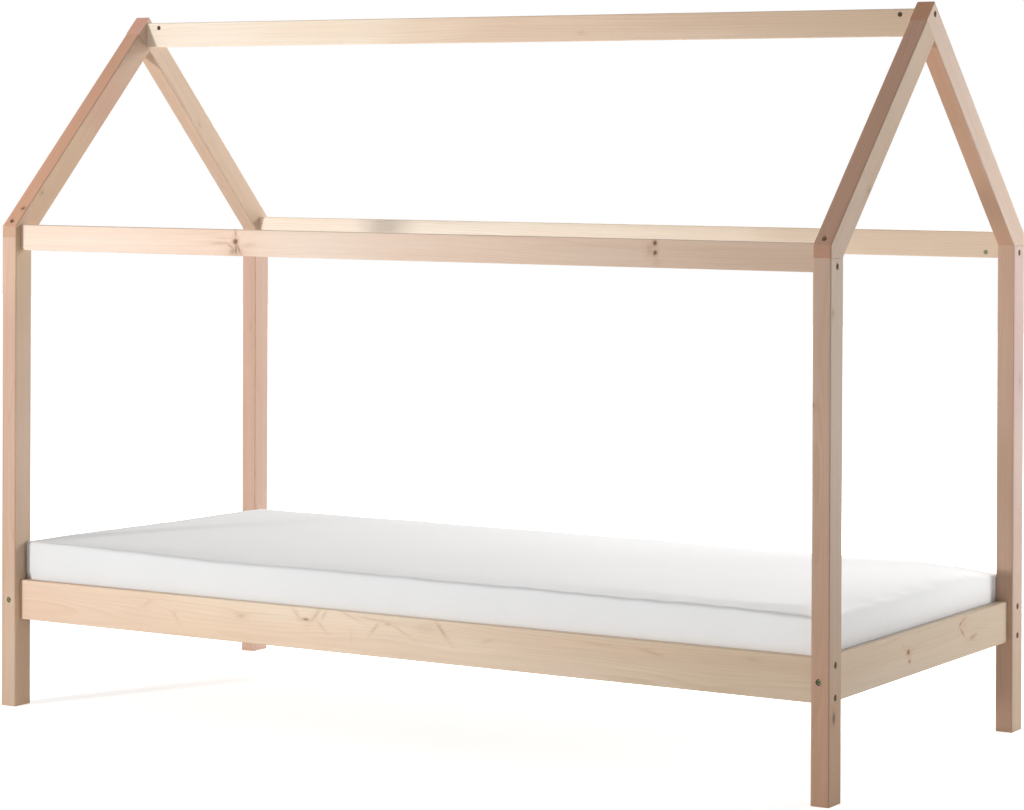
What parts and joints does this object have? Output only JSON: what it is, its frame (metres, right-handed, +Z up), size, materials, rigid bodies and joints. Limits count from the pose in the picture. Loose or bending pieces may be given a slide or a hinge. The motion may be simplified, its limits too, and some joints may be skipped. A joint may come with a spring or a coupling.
{
  "type": "house frame bed",
  "caption": "Child's bed inside an open timber house frame: posts, gable rafters, ridge beam and eave rails, with a slatted bed box and a plain mattress.",
  "frame": {"origin": "centre of the bed's footprint, on the floor", "axes": "+X along the long side, to the right when the open front is faced; -Y towards the front; +Z up"},
  "size_m": [2.088, 0.984, 1.588],
  "materials": {
    "frame_pine": "untreated sanded pine with fine grain and knots",
    "slat_pine": "plain sawn pine",
    "dowel_beech": "turned, unfinished",
    "zinc_steel": "dull zinc plating",
    "mattress_cover": "smooth white cotton"
  },
  "bodies": {
    "frame": {"post_front_left": "frame_pine", "post_front_right": "frame_pine", "post_back_left": "frame_pine", "post_back_right": "frame_pine", "rafter_front_left": "frame_pine", "rafter_front_right": "frame_pine", "rafter_back_left": "frame_pine", "rafter_back_right": "frame_pine", "ridge_beam": "frame_pine", "eave_rail_front": "frame_pine", "eave_rail_back": "frame_pine", "side_rail_front": "frame_pine", "side_rail_back": "frame_pine", "end_rail_left": "frame_pine", "end_rail_right": "frame_pine", "slat_cleat_front": "slat_pine", "slat_cleat_back": "slat_pine", "slat_01": "slat_pine", "slat_02": "slat_pine", "slat_03": "slat_pine", "slat_04": "slat_pine", "slat_05": "slat_pine", "slat_06": "slat_pine", "slat_07": "slat_pine", "slat_08": "slat_pine", "slat_09": "slat_pine", "slat_10": "slat_pine", "slat_11": "slat_pine", "slat_12": "slat_pine", "slat_13": "slat_pine", "side_rail_bolts": "zinc_steel", "end_rail_bolts": "zinc_steel", "eave_rail_bolts": "zinc_steel", "ridge_bolts": "zinc_steel", "side_rail_nuts": "zinc_steel", "end_rail_nuts": "zinc_steel", "eave_rail_nuts": "zinc_steel", "ridge_nuts": "zinc_steel", "rafter_toe_screws": "zinc_steel", "peak_screws": "zinc_steel", "cleat_screws": "zinc_steel", "slat_screws": "zinc_steel", "end_rail_dowels": "dowel_beech", "eave_rail_dowels": "dowel_beech", "ridge_dowels": "dowel_beech", "rafter_toe_dowels": "dowel_beech"},
    "mattress": {"mattress": "mattress_cover"}
  },
  "joints": [
    {"name": "mattress_lift", "type": "slide", "parent": "frame", "child": "mattress", "axis": [0, 0, 1], "range_m": [0, 0.65]}
  ]
}
